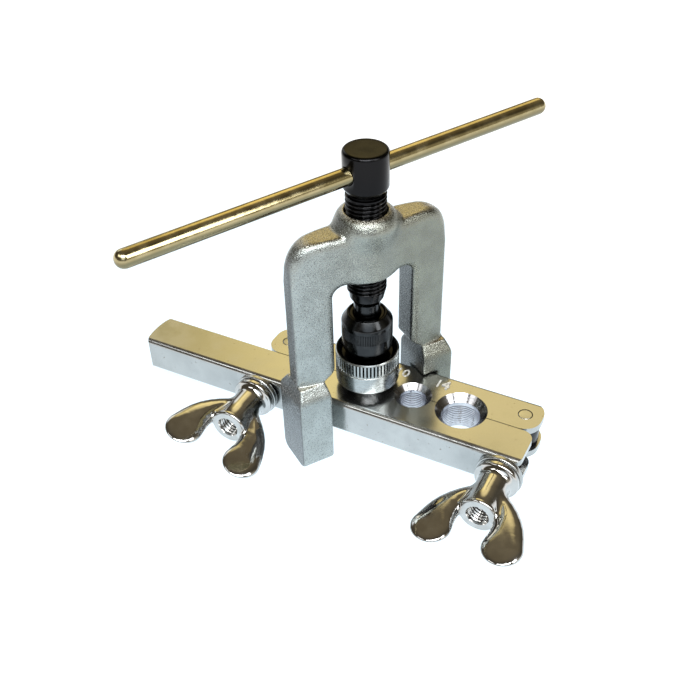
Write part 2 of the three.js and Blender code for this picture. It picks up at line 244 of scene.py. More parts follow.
def beyond(u, v, start, end):
    """Distance past the line from start to end, towards its left side."""
    du, dv = end[0] - start[0], end[1] - start[1]
    return ((u - start[0]) * -dv + (v - start[1]) * du) / math.hypot(du, dv)


def tapered(u, v, start, start_radius, end, end_radius):
    """Distance to two circles and the straight tangents between them."""
    along = np.subtract(end, start)
    length = math.hypot(*along)
    along = along / length
    up = (u - start[0]) * along[0] + (v - start[1]) * along[1]
    side = np.abs((u - start[0]) * along[1] - (v - start[1]) * along[0])
    lean = (start_radius - end_radius) / length
    slope = math.sqrt(1 - lean * lean)
    k = up * slope - side * lean
    flank = side * slope + up * lean - start_radius
    near = np.hypot(side, up) - start_radius
    far = np.hypot(side, up - length) - end_radius
    return np.where(k < 0, near, np.where(k > slope * length, far, flank))


def crossings(field, cells, step, low):
    """Mean of the points where the surface crosses the edges of each cell."""
    total = np.zeros((len(cells), 3))
    count = np.zeros((len(cells), 1))
    for axis in range(3):
        others = [a for a in range(3) if a != axis]
        for p, q in ((0, 0), (0, 1), (1, 0), (1, 1)):
            near = cells.copy()
            near[:, others[0]] += p
            near[:, others[1]] += q
            far = near.copy()
            far[:, axis] += 1
            d0, d1 = field[tuple(near.T)], field[tuple(far.T)]
            hit = (d0 < 0) != (d1 < 0)
            share = np.where(hit, d0 / np.where(hit, d0 - d1, 1), 0)
            at = near.astype(float)
            at[:, axis] += share
            total += at * hit[:, None]
            count += hit[:, None]
    return low + total / count * step


def pull_to_surface(distance, points, rounds=2, reach=0.01):
    for _ in range(rounds):
        gradient = np.empty_like(points)
        for axis in range(3):
            offset = np.zeros(3)
            offset[axis] = reach
            gradient[:, axis] = distance(points + offset) - distance(points - offset)
        gradient /= 2 * reach
        size = np.maximum((gradient**2).sum(1), 0.12)
        points = points - gradient * (distance(points) / size)[:, None]
    return points


def net(name, distance, low, high, step):
    """Closed mesh of quads on the zero surface of a distance function."""
    low = np.array(low, float)
    axes = [np.arange(a, b + step, step) for a, b in zip(low, high)]
    field = distance(np.stack(np.meshgrid(*axes, indexing="ij"), -1))
    inside = field < 0
    cells_wide = np.array(field.shape) - 1
    filled = np.zeros(cells_wide, int)
    for i, j, k in np.ndindex(2, 2, 2):
        a, b, c = cells_wide
        filled += inside[i : i + a, j : j + b, k : k + c]
    mixed = (filled > 0) & (filled < 8)
    cells = np.argwhere(mixed)
    index = np.full(mixed.shape, -1)
    index[mixed] = np.arange(len(cells))
    points = pull_to_surface(distance, crossings(field, cells, step, low))
    faces = []
    for axis in range(3):
        b, c = (axis + 1) % 3, (axis + 2) % 3
        first = [slice(1, -1)] * 3
        first[axis] = slice(0, -1)
        second = [slice(1, -1)] * 3
        second[axis] = slice(1, None)
        leaving = inside[tuple(first)]
        edges = np.argwhere(leaving != inside[tuple(second)])
        outward = leaving[tuple(edges.T)]
        edges[:, b] += 1
        edges[:, c] += 1
        around = []
        for db, dc in ((0, 0), (1, 0), (1, 1), (0, 1)):
            cell = edges.copy()
            cell[:, b] -= db
            cell[:, c] -= dc
            around.append(index[tuple(cell.T)])
        quads = np.stack(around, 1)
        quads[~outward] = quads[~outward][:, ::-1]
        faces.extend(quads.tolist())
    return new_object(name, points, faces, sharp=60)


# ---------- node trees ----------
def vector_math(tree, operation, first, second):
    """Vector Math node whose inputs are sockets or constants."""
    made = tree.nodes.new("ShaderNodeVectorMath")
    made.operation = operation
    for socket, value in zip(made.inputs, (first, second)):
        if isinstance(value, bpy.types.NodeSocket):
            tree.links.new(value, socket)
        else:
            socket.default_value = value
    return made


def fade(tree, value, start, end, low, high):
    """Smooth change from low to high as a value goes from start to end."""
    made = tree.nodes.new("ShaderNodeMapRange")
    made.interpolation_type = "SMOOTHSTEP"
    tree.links.new(value, made.inputs["Value"])
    for key, number in (("From Min", start), ("From Max", end), ("To Min", low), ("To Max", high)):
        made.inputs[key].default_value = number
    return made.outputs["Result"]


# ---------- materials ----------
class Shader:
    """A Principled material that is built up from noise in the piece's own coordinates."""

    def __init__(self, name, metallic=1.0):
        self.material = bpy.data.materials.new(name)
        self.material.use_nodes = True
        self.tree = self.material.node_tree
        self.surface = self.tree.nodes["Principled BSDF"]
        self.surface.inputs["Metallic"].default_value = metallic
        self.place = self.tree.nodes.new("ShaderNodeTexCoord").outputs["Object"]

    def node(self, kind, **inputs):
        made = self.tree.nodes.new(kind)
        for key, value in inputs.items():
            socket = made.inputs[key]
            if isinstance(value, bpy.types.NodeSocket):
                self.tree.links.new(value, socket)
            else:
                socket.default_value = value
        return made

    def grain(self, size, detail=3.0, stretch=(1, 1, 1), turn=0.0):
        """Noise whose features are about size millimetres across, after a turn about z."""
        turned = self.node(
            "ShaderNodeMapping", Vector=self.place, Rotation=(0, 0, math.radians(turn))
        )
        mapping = self.node("ShaderNodeMapping", Vector=turned.outputs[0], Scale=stretch)
        texture = self.node(
            "ShaderNodeTexNoise", Vector=mapping.outputs[0], Scale=1 / (size * MM), Detail=detail
        )
        return texture.outputs["Fac"]

    def ramp(self, value, low, high, start=0.35, end=0.65):
        """Low to high as a noise or a share goes from start to end."""
        return fade(self.tree, value, start, end, low, high)

    def facing(self, direction, low, high):
        """0 to 1 as the surface turns to face a direction."""
        normal = self.node("ShaderNodeNewGeometry").outputs["Normal"]
        product = vector_math(self.tree, "DOT_PRODUCT", normal, direction)
        return self.ramp(product.outputs["Value"], 0, 1, low, high)

    def upward(self, low, high):
        return self.facing((0, 0, 1), low, high)

    def along(self, direction, start, end):
        """0 to 1 between two distances, in millimetres, along a direction."""
        travel = vector_math(self.tree, "DOT_PRODUCT", self.place, direction)
        return self.ramp(travel.outputs["Value"], 0, 1, start * MM, end * MM)

    def blend(self, share, first, second):
        made = self.tree.nodes.new("ShaderNodeMix")
        made.data_type = "RGBA"
        self.tree.links.new(share, made.inputs["Factor"])
        for socket, value in ((made.inputs[6], first), (made.inputs[7], second)):
            if isinstance(value, bpy.types.NodeSocket):
                self.tree.links.new(value, socket)
            else:
                socket.default_value = (*value, 1)
        return made.outputs[2]

    def colour(self, socket):
        self.tree.links.new(socket, self.surface.inputs["Base Color"])

    def roughness(self, socket):
        self.tree.links.new(socket, self.surface.inputs["Roughness"])

    def bumps(self, *layers):
        """Stacks (height, depth in millimetres) layers of relief."""
        normal = None
        for relief, depth in layers:
            bump = self.node("ShaderNodeBump", Height=relief, Distance=depth * MM)
            if normal is not None:
                self.tree.links.new(normal, bump.inputs["Normal"])
            normal = bump.outputs["Normal"]
        self.tree.links.new(normal, self.surface.inputs["Normal"])


def plated_bar():
    """Nickel over a ground face: faint lengthwise lines, small pits and dull patches."""
    m = Shader("nickel_plate")
    lines = m.grain(0.35, 2, (0.06, 1, 1))
    clouds = m.grain(9, 3)
    pits = m.grain(1.1, 1)
    specks = m.ramp(pits, 1, 0, 0.24, 0.29)
    tone = m.blend(m.ramp(clouds, 0, 1), (0.42, 0.43, 0.425), (0.47, 0.48, 0.475))
    m.colour(m.blend(specks, tone, (0.30, 0.28, 0.25)))
    m.roughness(m.ramp(clouds, 0.19, 0.27))
    m.bumps((lines, 0.004), (m.grain(0.5, 3), 0.006))
    return m.material


def sandy_plate():
    """Plate over a forged and blasted surface, with painted shade and a painted highlight in its
    colour.
    """
    m = Shader("satin_plate")
    sand = m.grain(0.42, 3)
    clouds = m.grain(7, 3)
    turn = math.radians(YOKE_TURN)
    east = Vector((math.cos(turn), math.sin(turn), 0))
    # Two copies of one tone: the darker one is painted shade, faded in towards the leg on the
    # yoke's +x side and towards the crown.
    shaded_tone = m.blend(m.ramp(clouds, 0, 1), (0.20, 0.205, 0.17), (0.24, 0.25, 0.205))
    lit_tone = m.blend(m.ramp(clouds, 0, 1), (0.33, 0.36, 0.35), (0.39, 0.425, 0.415))
    tone = m.blend(m.along(east + Vector((0, 0, 0.25)), -18, 34), lit_tone, shaded_tone)
    # Painted shade: faces turned to the yoke's -x side, such as the window side of the +x leg, are
    # made very dark.
    tone = m.blend(m.facing(-east, 0.7, 0.95), tone, (0.15, 0.16, 0.165))
    # Painted highlight: faces turned up are made pale and warm.
    tone = m.blend(m.upward(0.7, 0.95), tone, (0.52, 0.50, 0.43))
    m.colour(m.blend(m.ramp(sand, 0, 1, 0.25, 0.55), (0.20, 0.205, 0.20), tone))
    m.roughness(m.ramp(sand, 0.2, 0.36))
    m.bumps((sand, 0.16), (m.grain(1.6, 2), 0.06))
    return m.material


def bright_plate():
    """Polished plate, cloudy here and there over the casting."""
    m = Shader("bright_chrome")
    clouds = m.grain(5, 3)
    fine = m.grain(0.45, 2)
    m.colour(m.blend(m.ramp(clouds, 0, 1), (0.46, 0.455, 0.44), (0.53, 0.53, 0.52)))
    m.roughness(m.ramp(clouds, 0.07, 0.16, 0.4, 0.7))
    m.bumps((fine, 0.004), (m.grain(3, 2), 0.02))
    return m.material


def black_oxide():
    """Oiled black oxide with grey wear on the edges, darkened as painted shade above 34 mm and on
    faces turned up.
    """
    m = Shader("black_oxide")
    clouds = m.grain(4, 3)
    edges = m.node("ShaderNodeNewGeometry").outputs["Pointiness"]
    tone = m.blend(m.ramp(clouds, 0, 1), (0.030, 0.032, 0.034), (0.046, 0.048, 0.050))
    # Painted shade: darker from 34 mm up, over the screw's thread and hub.
    tone = m.blend(m.along((0, 0, 1), 34, 46), tone, (0.015, 0.015, 0.016))
    # Painted shade: faces turned up are made almost black.
    tone = m.blend(m.upward(0.5, 0.95), tone, (0.008, 0.008, 0.008))
    m.colour(m.blend(m.ramp(edges, 0, 0.8, 0.53, 0.62), tone, (0.15, 0.15, 0.15)))
    m.roughness(m.ramp(clouds, 0.14, 0.26))
    m.bumps((m.grain(0.4, 3), 0.008))
    return m.material


def rod_plate():
    """Drawn rod: lengthwise lines and shallow marks under bright plate, with painted shade on its
    underside.
    """
    m = Shader("handle_plate")
    lines = m.grain(0.5, 2, (0.03, 1, 1), -HANDLE_TURN)
    clouds = m.grain(6, 4)
    tone = m.blend(m.ramp(clouds, 0, 1), (0.40, 0.34, 0.18), (0.54, 0.47, 0.28))
    # Painted shade: faces turned down are made darker.
    m.colour(m.blend(m.upward(-0.1, 0.5), (0.22, 0.19, 0.11), tone))
    m.roughness(m.ramp(clouds, 0.12, 0.22))
    m.bumps((lines, 0.008), (m.grain(2.2, 2), 0.025))
    return m.material


def ground_steel():
    """Turned and ground steel with rings round the axis."""
    m = Shader("bright_steel")
    rings = m.grain(0.3, 2, (0.05, 0.05, 1))
    m.colour(m.blend(m.ramp(m.grain(3, 2), 0, 1), (0.54, 0.54, 0.55), (0.62, 0.62, 0.63)))
    m.roughness(m.ramp(rings, 0.14, 0.26))
    m.bumps((rings, 0.006))
    return m.material


def machined_cut():
    """Bored and countersunk surfaces: fine rings left by the tool, with faces turned up darkened as
    painted shade.
    """
    m = Shader("machined_cut")
    rings = m.grain(0.3, 2, (0.05, 0.05, 1))
    bore = m.blend(m.ramp(m.grain(2, 3), 0, 1), (0.52, 0.52, 0.55), (0.64, 0.64, 0.67))
    # Painted shade: faces turned up, the countersinks, are made darker than the bore walls.
    m.colour(m.blend(m.upward(0.4, 0.65), bore, (0.34, 0.34, 0.35)))
    m.roughness(m.ramp(rings, 0.13, 0.22))
    m.bumps((rings, 0.008))
    return m.material


def turned_plate():
    """Nickel over a fine-turned ring."""
    m = Shader("turned_plate")
    rings = m.grain(0.25, 2, (0.05, 0.05, 1))
    m.colour(m.blend(m.ramp(m.grain(4, 3), 0, 1), (0.34, 0.365, 0.365), (0.41, 0.435, 0.435)))
    m.roughness(m.ramp(rings, 0.2, 0.3))
    m.bumps((rings, 0.006))
    return m.material


def pale_stamp_highlight():
    """Crushed, matt metal at the bottom of a stamped figure, made pale as a painted highlight."""
    m = Shader("pale_stamp_highlight", metallic=0.3)
    # Painted highlight: the pale base colour stands in for the light that the figures' floors
    # reflect.
    m.colour(m.blend(m.ramp(m.grain(0.6, 2), 0, 1), (0.55, 0.55, 0.53), (0.8, 0.8, 0.78)))
    m.roughness(m.ramp(m.grain(0.4, 2), 0.35, 0.5))
    m.bumps((m.grain(0.3, 2), 0.02))
    return m.material


MACHINED = machined_cut()
STAMPED = pale_stamp_highlight()
FINISHES = {
    "nickel_plate": plated_bar(),
    "satin_plate": sandy_plate(),
    "bright_chrome": bright_plate(),
    "black_oxide": black_oxide(),
    "handle_plate": rod_plate(),
    "bright_steel": ground_steel(),
}


def finish(obj, node, body, slot, matrix, material=None):
    """Places a piece, gives it its finish and lets it stand for its CAD node."""
    obj.matrix_world = matrix
    materials = obj.data.materials
    if not materials:
        materials.append(None)
    materials[0] = material or FINISHES[slot]
    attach(obj, body)
    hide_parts(node)
    return obj


# ---------- die bars ----------
PIN_RADIUS = 2.5
DOWEL_RADIUS = 1.5


def die_cutter(die):
    sink = die["mouth"] - die["bore"]
    profile = [
        (0, BAR_LOW - 1), (die["bore"], BAR_LOW - 1), (die["bore"], -sink),
        (die["mouth"], 0), (die["mouth"] + 1, 1), (0, 1),
    ]
    return machined(lathe("die_cutter", profile, 96), die)


def machined(cutter, die):
    cutter.data.materials[0] = MACHINED
    cutter.location = (die["x"] * MM, 0, 0)
    return cutter


def grip_cutter(die, pitch=0.9, depth=0.12):
    """Fine rings inside a die that bite on the tube."""
    sink = die["mouth"] - die["bore"]
    low, high = BAR_LOW + 1.2, -sink - 0.8
    count = int((high - low) / pitch)
    profile = [(0, low)]
    for i in range(count):
        z = low + i * pitch
        profile += [(die["bore"] - 0.06, z), (die["bore"] + depth, z + pitch / 2)]
    top = low + count * pitch
    profile += [(die["bore"] - 0.06, top), (0, top)]
    return machined(lathe("grip_cutter", profile, 96), die)


def rail(side):
    """Long bar whose section has both outer edges rounded, for trimming a bar to."""
    y0, y1 = sorted((side * BAR_WIDTH, -side * 5))
    edge = {side * BAR_WIDTH: BAR_ROUND, -side * 5: 0}
    section = [(y0, BAR_LOW, edge[y0]), (y1, BAR_LOW, edge[y1]), (y1, 0, edge[y1]),
               (y0, 0, edge[y0])]
    length = prism("rail", rounded(section, 9, closed=True), -150, 150)
    length.matrix_world = Matrix(((0, 0, 1, 0), (1, 0, 0, 0), (0, 1, 0, 0), (0, 0, 0, 1)))
    return length


def stamp(die, depth=0.4, size=5.8):
    """The tube size that a die takes, stamped behind it."""
    text = bpy.data.curves.new("stamp", "FONT")
    text.body = die["size"]
    text.align_x = "CENTER"
    text.align_y = "CENTER"
    text.size = size * MM
    text.extrude = depth * MM
    text.resolution_u = 3
    text.offset = 0.1 * MM
    obj = bpy.data.objects.new("stamp", text)
    bpy.context.scene.collection.objects.link(obj)
    bpy.context.view_layer.update()
    evaluated = obj.evaluated_get(bpy.context.evaluated_depsgraph_get())
    solid = bpy.data.objects.new("stamp_cutter", bpy.data.meshes.new_from_object(evaluated))
    bpy.context.scene.collection.objects.link(solid)
    bpy.data.objects.remove(obj)
    solid.data.materials.append(STAMPED)
    solid.location = Vector((die["x"] - die["mouth"] - 1.9, 9.9, 0)) * MM
    return solid


def bar(name, outline, side, extra):
    solid = prism(name, outline, BAR_LOW, 0)
    carve(solid, [rail(side)], "INTERSECT")
    carve(solid, [die_cutter(d) for d in DIES] + extra)
    soften(solid, 0.3)
    carve(solid, [grip_cutter(d) for d in DIES])
    return solid


def front_bar():
    low, high = work("front_die_bar")
    bulge = 1.9
    left = low.x + bulge
    width, split = -BAR_WIDTH, -BAR_SPLIT
    grip_end = [(left - bulge * math.sin(a), width / 2 * (1 + math.cos(a)))
                for a in np.linspace(math.pi, 0, 15)]
    outline = [(x, min(y, split)) for x, y in grip_end] + rounded(
        [(left, width, 0), (high.x, width, 2.5), (high.x, split, 4), (left, split, 0)], 8
    )[1:-1]
    ends = {"left": PIN["left"].x + SLOT_HALF, "right": high.x + 5}  # the right slot is open
    slots = [
        block("slot", (PIN[side].x - SLOT_HALF, -20, BOLT_Z - SLOT_HALF),
              (end, 5, BOLT_Z + SLOT_HALF))
        for side, end in ends.items()
    ]
    solid = bar("front_bar_body", outline, -1, slots)
    flatten_shading(solid)
    return finish(solid, "front_die_bar", "die_bars", "nickel_plate", place())


def eye_pocket(side, end):
    """Room for the eye and shank of a swing bolt, open towards the bar's end."""
    low, high, reach = BOLT_Z - SLOT_HALF, BOLT_Z + SLOT_HALF, EYE_POCKET
    x, y = PIN[side].x, PIN[side].y
    round_part = lathe("pocket", [(0, low), (reach, low), (reach, high), (0, high)], 72)
    round_part.location = (x * MM, y * MM, 0)
    x0, x1 = sorted((x, end))
    to_end = block("pocket", (x0, -1, low), (x1, y + reach, high))
    to_front = block("pocket", (x - reach, -1, low), (x + reach, y, high))
    return [round_part, to_end, to_front]


def rear_bar():
    low, high = work("rear_die_bar")
    corners = [(low.x, BAR_SPLIT, 6), (high.x, BAR_SPLIT, 6.5), (high.x, BAR_WIDTH, 6.5),
               (low.x, BAR_WIDTH, 6)]
    cutters = eye_pocket("left", low.x - 5) + eye_pocket("right", high.x + 5)
    radius = PIN_RADIUS + 0.18
    for side in ("left", "right"):
        hole = lathe(
            "pin_hole", [(0, BAR_LOW - 1), (radius, BAR_LOW - 1), (radius, 1), (0, 1)], 64)
        hole.location = (PIN[side].x * MM, PIN[side].y * MM, 0)
        cutters.append(hole)
    solid = bar("rear_bar_body", rounded(corners, 10, closed=True), 1, cutters)
    carve(solid, [stamp(d) for d in DIES])
    flatten_shading(solid)
    return finish(solid, "rear_die_bar", "die_bars", "nickel_plate", place())


def rod(name, radius, z0, z1, edge, segments):
    """Plain round rod with eased ends."""
    profile = [(0, z0, 0), (radius, z0, edge), (radius, z1, edge), (0, z1, 0)]
    return lathe(name, rounded(profile), segments)


def small_rods():
    """Pivot pins, flush with the bars, and the dowels between the bars."""
    for side in ("left", "right"):
        low, high = work(f"{side}_pivot_pin")
        pin = rod(f"{side}_pin_rod", PIN_RADIUS, low.z, high.z, 0.25, 64)
        finish(pin, f"{side}_pivot_pin", "die_bars", "nickel_plate",
               place(PIN[side].x, PIN[side].y))
        low, high = work(f"{side}_dowel")
        reach = (high.y - low.y) / 2
        dowel = rod(f"{side}_dowel_rod", DOWEL_RADIUS, -reach, reach, 0.4, 48)
        finish(dowel, f"{side}_dowel", "die_bars", "bright_steel",
               place((low.x + high.x) / 2, 0, BOLT_Z) @ FORWARD)


# ---------- swing bolts, washers and wing nuts ----------
def helix(pitch, depth, start, end, fade=1.2):
    """Ripple of a right-hand thread between two heights, cut below the radius."""
    def ripple(angle, z):
        if not start <= z <= end:
            return 0 * angle
        turn = (z / pitch - angle / (2 * math.pi)) % 1.0
        groove = np.clip(1.25 - np.abs(turn - 0.5) * 3.2, 0, 1)
        ends = min(1.0, (z - start) / fade, (end - z) / fade)
        return -depth * groove * max(ends, 0)
    return ripple


def threaded(z0, z1, radius, pitch, steps=12):
    """Profile points close enough together to carry a thread."""
    count = int(abs(z1 - z0) / pitch * steps)
    return [(radius, z) for z in np.linspace(z0, z1, count)]


def swing_bolt(side, body):
    low, _ = work(f"{side}_swing_bolt")
    length = PIN[side].y - low.y
    radius, eye, pin = 3.4, 5.5, 2.8
    shank = lathe(
        f"{side}_bolt_forging",
        [(0, 0), (radius - 0.2, 0), (radius - 0.2, 9), (radius, 9.2)]
        + threaded(9.3, length - 0.9, radius, 1.25)
        + [(radius - 0.7, length), (0, length)],
        96, helix(1.25, 0.6, 9.3, length - 0.2), 50,
    )
    shank.matrix_world = FORWARD
    head = rod("eye", eye, -3.9, 3.9, 0.8, 96)
    hole = lathe("hole", [(0, -6), (pin, -6), (pin, 6), (0, 6)], 64)
    carve(shank, [head], "UNION")
    shank.data.transform(FORWARD)
    shank.matrix_world = Matrix.Identity(4)
    carve(shank, [hole])
    shade(shank.data, 40)
    return finish(shank, f"{side}_swing_bolt", body, "black_oxide",
                  place(PIN[side].x, PIN[side].y, BOLT_Z))


def washer(side):
    low, high = work(f"{side}_washer")
    outer, inner, thick = (high.z - low.z) / 2, 4.05, high.y - low.y
    corners = [(inner, 0, 0.25), (outer, 0, 0.45), (outer, thick, 0.45), (inner, thick, 0.25)]
    ring = rounded(corners, 4, closed=True)
    disc = lathe(f"{side}_washer_ring", ring + ring[:1], 128)
    return finish(disc, f"{side}_washer", f"{side}_washer", "nickel_plate",
                  place(PIN[side].x, high.y, BOLT_Z) @ FORWARD)


NUT_LENGTH = 19.3


def nut_form(p):
    """Waisted barrel with a flange at z = 0 and two swept, pillow-shaped wings."""
    x, y, z = np.abs(p[..., 0]), p[..., 1], p[..., 2]
    reach = np.hypot(p[..., 0], y)
    flare = 5.8 + 1.0 * np.clip((z - 11) / 7, 0, 1) ** 2
    barrel = common(reach - flare, np.abs(z - NUT_LENGTH / 2) - NUT_LENGTH / 2, 0.8)
    flange = common(reach - 7.9, np.abs(z - 1.05) - 1.05, 0.55)
    body = join(barrel, flange, 2.6)
    past = np.clip(z - 18, 0, 20)
    half = 3.1 - 0.05 * past - 0.0052 * past**2
    wing = common(wing_outline(x, z) * 0.52, np.abs(y) - half, np.minimum(half, 2.6))
    return join(body, wing, 1.4)


def wing_outline(x, z, root=(5.2, 11.5), bend=(12.0, 17.4), tip=(12.2, 29.4), steps=6):
    """Distance to a wing's edge, in its plane: circles that grow along a curved spine."""
    share = np.linspace(0, 1, steps + 1)[:, None]
    root, bend, tip = map(np.array, (root, bend, tip))
    spine = (1 - share) ** 2 * root + 2 * share * (1 - share) * bend + share**2 * tip
    radius = 3.4 + 3.42 * share[:, 0] ** 1.5
    parts = [
        tapered(x, z, spine[i], radius[i], spine[i + 1], radius[i + 1]) for i in range(steps)
    ]
    return np.minimum.reduce(parts)


def nut_mesh():
    """One wing nut with a threaded bore, shared by both sides."""
    solid = net("wing_nut", nut_form, (-20.5, -8.6, -0.6), (20.5, 8.6, 37.2), 0.3)
    length, bore = NUT_LENGTH, 3.8
    thread = lathe(
        "nut_thread",
        [(0, -1), (bore + 0.3, -1), (bore + 0.3, 0.2), (bore, 0.5)]
        + threaded(0.6, length - 0.8, bore, 1.25, 10)
        + [(bore, length - 0.5), (bore + 0.3, length + 0.1), (bore + 0.3, length + 1),
           (0, length + 1)],
        64, helix(1.25, 0.42, 0.6, length - 0.5), 50,
    )
    mesh = carve(solid, [thread]).data
    bpy.data.objects.remove(solid)
    return mesh


def wing_nut(side, mesh):
    _, high = work(f"{side}_wing_nut")
    nut = bpy.data.objects.new(f"{side}_wing_nut_casting", mesh.copy())
    bpy.context.scene.collection.objects.link(nut)
    roll = Matrix.Rotation(math.radians(-NUT_TURN[side]), 4, "Y")
    nut.data.transform(roll @ FORWARD)
    return finish(nut, f"{side}_wing_nut", f"{side}_nut", "bright_chrome",
                  place(PIN[side].x, high.y, BOLT_Z))


def clamps():
    swing_bolt("left", "die_bars")
    swing_bolt("right", "right_bolt")
    mesh = nut_mesh()
    shade(mesh, 50)
    for side in ("left", "right"):
        washer(side)
        wing_nut(side, mesh)


# ---------- yoke ----------
YOKE = {"half": 30.1, "thick": 6.6, "top": 68.8, "shoulder": 9.5}
WINDOW = {"half": 15.6, "top": 50.0, "corner": 4.0}
FOOT = {"inner": 19.1, "outer": 31.7, "half": 8.55, "top": 7.6, "bottom": -24.0}
LEDGE = {"inner": 20.3, "outer": 30.1, "top": 11.9, "half": 5.6, "chamfer": 15.7}
BOSS = {"radius": 11.1, "top": 74.3, "waist": 9.1}
YOKE_BORE = 7.25


def arch_form(x, y, z):
    """Legs and crossbar, thick beside the window and thin at the outer edges."""
    outer = common(x - YOKE["half"], z - YOKE["top"], YOKE["shoulder"])
    thinned = -beyond(x, y, (29.4, 3.5), (16.6, YOKE["thick"]))
    sides = common(y - YOKE["thick"], thinned, 3.0)
    crown = np.clip((z - 54) / 8, 0, 1)
    edge = 1.6 + 2.0 * crown
    solid = common(outer, sides, edge)
    window = common(x - WINDOW["half"], z - WINDOW["top"], WINDOW["corner"])
    solid = common(solid, -window, 2.8)
    chamfer = beyond(x, z, (WINDOW["half"], LEDGE["chamfer"]), (LEDGE["inner"], LEDGE["top"]))
    solid = common(solid, -chamfer, 0.6)
    return common(solid, 9.6 - z, 0.2)


def foot_form(x, y, z):
    """Foot block whose top slopes up to the leg."""
    wide = common(FOOT["inner"] - x, x - FOOT["outer"], 0.3)
    tall = common(y - FOOT["half"], FOOT["bottom"] - z, 3.4)
    solid = common(wide, tall, 0.9)
    slopes = (
        (y, (FOOT["half"], FOOT["top"]), (LEDGE["half"], LEDGE["top"])),
        (x, (FOOT["outer"], FOOT["top"]), (LEDGE["outer"], LEDGE["top"])),
    )
    for across, low, high in slopes:
        solid = common(solid, beyond(across, z, high, low), 0.8)
    inner = beyond(x, z, (FOOT["inner"], FOOT["top"]), (LEDGE["inner"], LEDGE["top"]))
    solid = common(solid, inner, 0.8)
    return common(solid, z - LEDGE["top"], 0.4)


def boss_form(reach, z):
    """Collar round the feed screw: coned on top, drawn in to a waist above the window."""
    low = WINDOW["top"]
    collar = common(reach - BOSS["radius"], z - BOSS["top"], 1.0)
    collar = common(collar, beyond(reach, z, (7.8, BOSS["top"]), (11.7, 70.1)), 1.8)
    collar = common(collar, beyond(reach, z, (BOSS["radius"], 66.8), (5.5, 58.5)), 2.5)
    waist = common(reach - BOSS["waist"], np.abs(z - low - 10) - 10, 0.6)
    return join(collar, waist, 2.0)


def yoke_form(p):
    x, y, z = p[..., 0], p[..., 1], p[..., 2]
    ax, ay = np.abs(x), np.abs(y)
    reach = np.hypot(x, y)
    solid = join(arch_form(ax, ay, z), boss_form(reach, z), 3.0)
    solid = join(solid, foot_form(ax, ay, z), 1.0)
    turn = math.radians(YOKE_TURN)
    across = np.abs(x * math.sin(turn) + y * math.cos(turn))
    slot = np.maximum(across - BAR_WIDTH - 0.4, np.maximum(z - 0.6, BAR_LOW - 0.5 - z))
    solid = common(solid, -slot, 0.3)
    return common(solid, YOKE_BORE - reach, 0.6)


def yoke():
    low, high = (-32.6, -12.2, -24.9), (32.6, 12.2, 75.2)
    solid = net("yoke_forging", yoke_form, low, high, 0.45)
    solid.data.transform(Matrix.Rotation(math.radians(YOKE_TURN), 4, "Z"))
    return finish(solid, "yoke", "yoke", "satin_plate", place())


# ---------- feed screw, holder and cone ----------
THREAD = {"radius": 6.87, "depth": 0.75, "pitch": 1.5, "low": 41.0, "high": 79.6}
HUB = {"radius": 7.65, "low": 80.3, "top": 95.3}
HANDLE_RADIUS = 2.98


def spindle():
    radius = THREAD["radius"]
    lower = rounded([(0, 21.5, 0), (4.65, 21.5, 0.6), (4.65, 37.2, 1.5), (radius - 0.9, 39.4, 1.2),
                     (radius, 42.6, 2), (radius, 43.2, 0)])
    upper = rounded([(radius - 0.75, 79.8, 0), (radius - 0.75, HUB["low"], 0.2),
                     (HUB["radius"] - 1.3, HUB["low"] + 0.1, 0.4),
                     (HUB["radius"], HUB["low"] + 2.2, 0.6), (HUB["radius"], HUB["top"], 1.9),
                     (HUB["radius"] - 2.6, HUB["top"], 0),
                     (0, HUB["top"], 0)], 8)
    profile = lower + threaded(43.3, THREAD["high"], radius, THREAD["pitch"]) + upper
    screw = lathe("feed_screw", profile, 96,
                  helix(THREAD["pitch"], THREAD["depth"], THREAD["low"], THREAD["high"] + 0.1, 1.0),
                  50)
    low, high = work("tommy_bar")
    reach = HANDLE_RADIUS + 0.25
    hole = lathe("handle_hole", [(0, -20), (reach, -20), (reach, 20), (0, 20)], 64)
    hole.matrix_world = Matrix.Translation((0, 0, (low.z + high.z) / 2 * MM)) @ along_handle()
    carve(screw, [hole])
    shade(screw.data, 45)
    return finish(screw, "spindle", "spindle", "black_oxide", place())


def along_handle():
    """Turns a piece's z axis to lie along the handle."""
    return Matrix.Rotation(math.radians(HANDLE_TURN), 4, "Z") @ Matrix.Rotation(
        math.radians(90), 4, "Y")


def tommy_bar():
    low, high = work("tommy_bar")
    r, near, far = HANDLE_RADIUS, -86.35, 77.55
    quarter = np.linspace(0, math.pi / 2, 15)
    start = [(r * math.sin(a), near + r - r * math.cos(a)) for a in quarter]
    end = [(r * math.sin(a), far - r + r * math.cos(a)) for a in quarter[::-1]]
    shaft = [(r, z) for z in np.linspace(near + 4, far - 4, 40)]
    rod = lathe("handle_rod", start + shaft + end, 96)
    rod.data.transform(along_handle())
    return finish(rod, "tommy_bar", "spindle", "handle_plate",
                  place(0, 0, (low.z + high.z) / 2))


def flutes(count, depth, low, high):
    """Ripple of a straight knurl between two heights."""
    def ripple(angle, z):
        if not low <= z <= high:
            return 0 * angle
        wave = np.abs((angle / (2 * math.pi)) * count % 1.0 - 0.5) * 2
        return -depth * np.clip(wave * 3.2 - 1.8, 0, 1)
    return ripple


def layers(z0, z1, radius, count=3):
    return [(radius, z) for z in np.linspace(z0, z1, count)]


